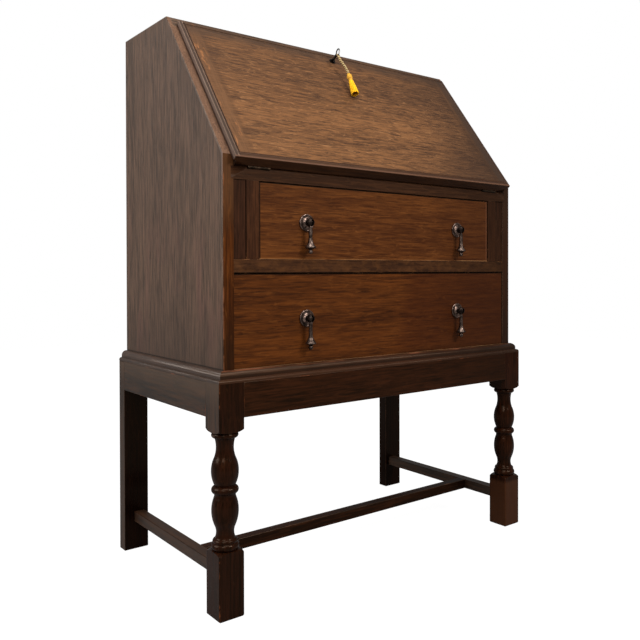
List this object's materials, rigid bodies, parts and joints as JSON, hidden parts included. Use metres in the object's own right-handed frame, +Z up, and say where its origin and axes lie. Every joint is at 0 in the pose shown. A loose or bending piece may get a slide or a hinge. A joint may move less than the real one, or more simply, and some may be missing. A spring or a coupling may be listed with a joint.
{
  "type": "writing bureau on stand",
  "caption": "Oak writing bureau with a sloping moulded fall, drawers with drop handles, pull-out lopers and a stand with turned front legs joined by stretchers.",
  "frame": {"origin": "on the floor, at the middle of the whole object's width and depth", "axes": "+Z up, +Y from the front with the fall and drawers to the back, +X to the right as seen from the front"},
  "size_m": [0.762, 0.4372, 1.056],
  "materials": {
    "polished_oak": "waxed, mid brown",
    "dark_oak": "waxed, dark brown",
    "plain_inner_wood": "unpolished",
    "aged_brass": "dark, rubbed bright on the raised parts",
    "dark_steel": "dark, handled",
    "gold_cord": "silky twisted yarn"
  },
  "bodies": {
    "case": {"case_side_left": "polished_oak", "case_side_right": "polished_oak", "case_top": "polished_oak", "case_back": "plain_inner_wood", "case_bottom": "plain_inner_wood", "writing_board": "polished_oak", "front_rail": "dark_oak", "mid_rail": "dark_oak", "drawer_runners": "plain_inner_wood", "divider_stiles": "dark_oak", "loper_guides": "plain_inner_wood", "pigeonhole_shelf": "polished_oak", "pigeonhole_uprights": "polished_oak", "strike_plate": "aged_brass", "hinge_case_leaves": "aged_brass", "hinge_pins": "aged_brass", "front_leg_left": "dark_oak", "front_leg_right": "dark_oak", "rear_leg_left": "dark_oak", "rear_leg_right": "dark_oak", "front_apron": "dark_oak", "rear_apron": "dark_oak", "side_apron_left": "dark_oak", "side_apron_right": "dark_oak", "front_moulding": "dark_oak", "side_moulding_left": "dark_oak", "side_moulding_right": "dark_oak", "side_stretcher_left": "dark_oak", "side_stretcher_right": "dark_oak", "cross_stretcher": "dark_oak", "case_fixing_blocks": "plain_inner_wood"},
    "fall": {"fall_panel": "polished_oak", "hinge_fall_leaves": "aged_brass", "lock_case": "aged_brass", "key_escutcheon": "aged_brass"},
    "lock_bolt": {"lock_bolt": "dark_steel"},
    "key": {"key": "dark_steel"},
    "cord_loop": {"cord_loop": "gold_cord"},
    "cord_tassel": {"key_cord": "gold_cord", "tassel": "gold_cord"},
    "upper_drawer": {"upper_drawer_front": "polished_oak", "upper_drawer_sides": "plain_inner_wood", "upper_drawer_back": "plain_inner_wood", "upper_drawer_bottom": "plain_inner_wood", "upper_handle_plates": "aged_brass", "upper_handle_fixings": "aged_brass"},
    "upper_drop_left": {"upper_handle_drop_left": "aged_brass"},
    "upper_drop_right": {"upper_handle_drop_right": "aged_brass"},
    "lower_drawer": {"lower_drawer_front": "polished_oak", "lower_drawer_sides": "plain_inner_wood", "lower_drawer_back": "plain_inner_wood", "lower_drawer_bottom": "plain_inner_wood", "lower_handle_plates": "aged_brass", "lower_handle_fixings": "aged_brass"},
    "lower_drop_left": {"lower_handle_drop_left": "aged_brass"},
    "lower_drop_right": {"lower_handle_drop_right": "aged_brass"},
    "loper_left": {"loper_left": "polished_oak", "loper_stop_left": "plain_inner_wood"},
    "loper_right": {"loper_right": "polished_oak", "loper_stop_right": "plain_inner_wood"}
  },
  "joints": [
    {"name": "fall_hinge", "type": "hinge", "parent": "case", "child": "fall", "pos_m": [0, -0.19775, 0.753], "axis": [1, 0, 0], "range_deg": [0, 127.5]},
    {"name": "upper_drawer_slide", "type": "slide", "parent": "case", "child": "upper_drawer", "axis": [0, -1, 0], "range_m": [0, 0.3]},
    {"name": "lower_drawer_slide", "type": "slide", "parent": "case", "child": "lower_drawer", "axis": [0, -1, 0], "range_m": [0, 0.3]},
    {"name": "loper_left_slide", "type": "slide", "parent": "case", "child": "loper_left", "axis": [0, -1, 0], "range_m": [0, 0.253]},
    {"name": "loper_right_slide", "type": "slide", "parent": "case", "child": "loper_right", "axis": [0, -1, 0], "range_m": [0, 0.253]},
    {"name": "key_turn", "type": "hinge", "parent": "fall", "child": "key", "pos_m": [0, -0.01457, 1.02777], "axis": [0, -0.7932, 0.6089], "range_deg": [0, 90]},
    {"name": "lock_bolt_slide", "type": "slide", "parent": "fall", "child": "lock_bolt", "axis": [0, 0.6089, 0.7932], "range_m": [0, 0.009]},
    {"name": "cord_loop_turn", "type": "hinge", "parent": "key", "child": "cord_loop", "pos_m": [-0.00369, -0.04058, 1.03494], "axis": [0, -0.7932, 0.6089], "range_deg": [-92, 1]},
    {"name": "tassel_swing", "type": "hinge", "parent": "cord_loop", "child": "cord_tassel", "pos_m": [-0.00605, -0.04453, 1.0298], "axis": [-1, 0, 0], "range_deg": [0, 98]},
    {"name": "upper_drop_left_swing", "type": "hinge", "parent": "upper_drawer", "child": "upper_drop_left", "pos_m": [-0.195, -0.20885, 0.6632], "axis": [-1, 0, 0], "range_deg": [-3, 85]},
    {"name": "upper_drop_right_swing", "type": "hinge", "parent": "upper_drawer", "child": "upper_drop_right", "pos_m": [0.195, -0.20885, 0.6632], "axis": [-1, 0, 0], "range_deg": [-3, 85]},
    {"name": "lower_drop_left_swing", "type": "hinge", "parent": "lower_drawer", "child": "lower_drop_left", "pos_m": [-0.195, -0.20885, 0.49135], "axis": [-1, 0, 0], "range_deg": [-3, 85]},
    {"name": "lower_drop_right_swing", "type": "hinge", "parent": "lower_drawer", "child": "lower_drop_right", "pos_m": [0.195, -0.20885, 0.49135], "axis": [-1, 0, 0], "range_deg": [-3, 85]}
  ],
  "couplings": [
    {"joint": "key_turn", "follows": "lock_bolt_slide", "rad_per_m": 174.5},
    {"joint": "cord_loop_turn", "follows": "lock_bolt_slide", "rad_per_m": -174.5},
    {"joint": "tassel_swing", "follows": "fall_hinge", "ratio": 0.7686}
  ]
}
